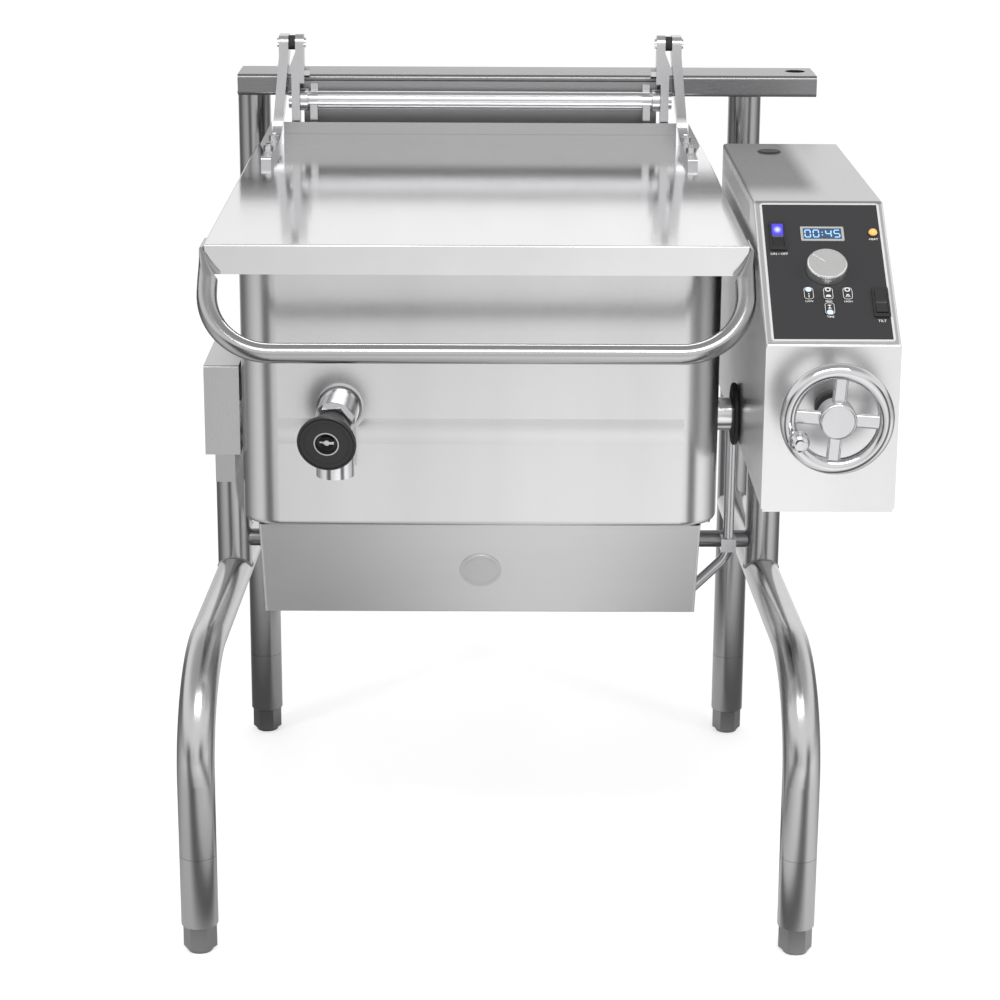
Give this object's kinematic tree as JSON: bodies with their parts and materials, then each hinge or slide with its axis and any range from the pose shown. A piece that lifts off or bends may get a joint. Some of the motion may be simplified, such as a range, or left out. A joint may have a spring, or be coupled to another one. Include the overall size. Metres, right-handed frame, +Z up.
{
  "type": "tilting skillet",
  "caption": "Floor-standing tilting skillet: a rectangular lidded pan on tubular legs, with a side control console, a handwheel worm drive and a draw-off valve.",
  "frame": {"origin": "on the floor, at the middle of the overall width and depth", "axes": "+Z up, +Y to the back, +X to the side of the control console"},
  "size_m": [0.9234, 1.1548, 1.166],
  "materials": {
    "frame_steel": "satin",
    "foot_steel": "satin",
    "case_steel": "brushed",
    "pan_steel": "brushed",
    "vessel_steel": "satin",
    "clad_steel": "plain",
    "lid_steel": "brushed",
    "hinge_steel": "satin",
    "bright_steel": "bright",
    "polished_steel": "polished",
    "plain_steel": "machined",
    "cast_iron": "cast",
    "bronze": "machined",
    "black_rubber": "matte",
    "black_plastic": "satin",
    "blue_plastic": "gloss",
    "overlay_film": "satin",
    "pad_film": "satin",
    "knob_aluminium": "turned",
    "display_glass": "gloss",
    "amber_lens": "gloss"
  },
  "bodies": {
    "frame": {"front_leg_left": "frame_steel", "front_leg_right": "frame_steel", "main_post_left": "frame_steel", "main_post_right": "frame_steel", "rear_post_left": "frame_steel", "rear_post_right": "frame_steel", "trunnion_arm_left": "frame_steel", "trunnion_arm_right": "frame_steel", "cross_brace": "frame_steel", "crossbar": "frame_steel", "console_shell": "case_steel", "console_floor": "case_steel", "console_back": "case_steel", "hole_plug": "black_rubber", "overlay": "overlay_film", "switch_bezels": "black_plastic", "display": "display_glass", "lamp": "amber_lens", "mode_pads": "pad_film", "knob_bush": "black_plastic", "trunnion_housing": "case_steel", "bearing_left": "cast_iron", "bearing_right": "cast_iron", "worm_stand": "plain_steel", "front_bush": "black_rubber", "conduit": "plain_steel"},
    "pan": {"pan_jacket": "pan_steel", "pan_vessel": "vessel_steel", "clad_plate": "clad_steel", "firebox": "pan_steel", "shaft_left": "polished_steel", "shaft_right": "polished_steel", "seal_ring": "black_rubber", "pan_nuts": "bright_steel", "worm_wheel": "bronze", "hinge_bracket_left": "hinge_steel", "hinge_bracket_right": "hinge_steel", "hinge_pins": "bright_steel", "hinge_bushes": "black_rubber", "spring_tube": "bright_steel", "valve_body": "polished_steel", "valve_bonnet": "polished_steel"},
    "lid": {"lid_shell": "lid_steel", "lid_stiffener": "lid_steel", "lid_arm_left": "hinge_steel", "lid_arm_right": "hinge_steel", "lid_fasteners": "bright_steel", "lid_handle": "polished_steel"},
    "handwheel": {"handwheel": "polished_steel", "worm": "plain_steel"},
    "grip": {"grip": "polished_steel"},
    "temp_knob": {"temp_knob": "knob_aluminium"},
    "power_rocker": {"power_rocker": "blue_plastic"},
    "tilt_rocker": {"tilt_rocker": "black_plastic"},
    "valve_knob": {"valve_knob": "black_plastic", "valve_stem": "bright_steel"},
    "front_foot_left": {"foot_front_left": "foot_steel"},
    "front_foot_right": {"foot_front_right": "foot_steel"},
    "rear_foot_left": {"foot_rear_left": "foot_steel"},
    "rear_foot_right": {"foot_rear_right": "foot_steel"}
  },
  "joints": [
    {"name": "pan_tilt", "type": "hinge", "parent": "frame", "child": "pan", "pos_m": [-0.0543, -0.1506, 0.734], "axis": [1, 0, 0], "range_deg": [0, 90]},
    {"name": "handwheel_spin", "type": "hinge", "parent": "frame", "child": "handwheel", "pos_m": [0.3707, -0.4736, 0.833], "axis": [0, 1, 0], "continuous": true},
    {"name": "grip_spin", "type": "hinge", "parent": "handwheel", "child": "grip", "pos_m": [0.32249, -0.5546, 0.81352], "axis": [0, 1, 0], "continuous": true},
    {"name": "lid_hinge", "type": "hinge", "parent": "pan", "child": "lid", "pos_m": [-0.0583, 0.4494, 1.153], "axis": [-1, 0, 0], "range_deg": [0, 90]},
    {"name": "temp_knob_turn", "type": "hinge", "parent": "frame", "child": "temp_knob", "pos_m": [0.3722, -0.37434, 0.9843], "axis": [0, -0.5765, 0.8171], "range_deg": [-203, 96]},
    {"name": "power_rocker_press", "type": "hinge", "parent": "frame", "child": "power_rocker", "pos_m": [0.3162, -0.32327, 1.01078], "axis": [1, 0, 0], "range_deg": [-12, 0]},
    {"name": "tilt_rocker_press", "type": "hinge", "parent": "frame", "child": "tilt_rocker", "pos_m": [0.4347, -0.41315, 0.94737], "axis": [1, 0, 0], "range_deg": [-6, 6], "stiffness_Nm_per_rad": 0.3},
    {"name": "valve_knob_turn", "type": "hinge", "parent": "pan", "child": "valve_knob", "pos_m": [-0.23965, -0.33926, 0.77081], "axis": [-0.107, -0.9731, -0.2038], "range_deg": [0, 720]},
    {"name": "front_foot_left_screw", "type": "slide", "parent": "frame", "child": "front_foot_left", "axis": [0, 0, -1], "range_m": [0, 0.025]},
    {"name": "front_foot_right_screw", "type": "slide", "parent": "frame", "child": "front_foot_right", "axis": [0, 0, -1], "range_m": [0, 0.025]},
    {"name": "rear_foot_left_screw", "type": "slide", "parent": "frame", "child": "rear_foot_left", "axis": [0, 0, -1], "range_m": [0, 0.025]},
    {"name": "rear_foot_right_screw", "type": "slide", "parent": "frame", "child": "rear_foot_right", "axis": [0, 0, -1], "range_m": [0, 0.025]}
  ],
  "couplings": [
    {"joint": "handwheel_spin", "follows": "pan_tilt", "ratio": 65}
  ]
}
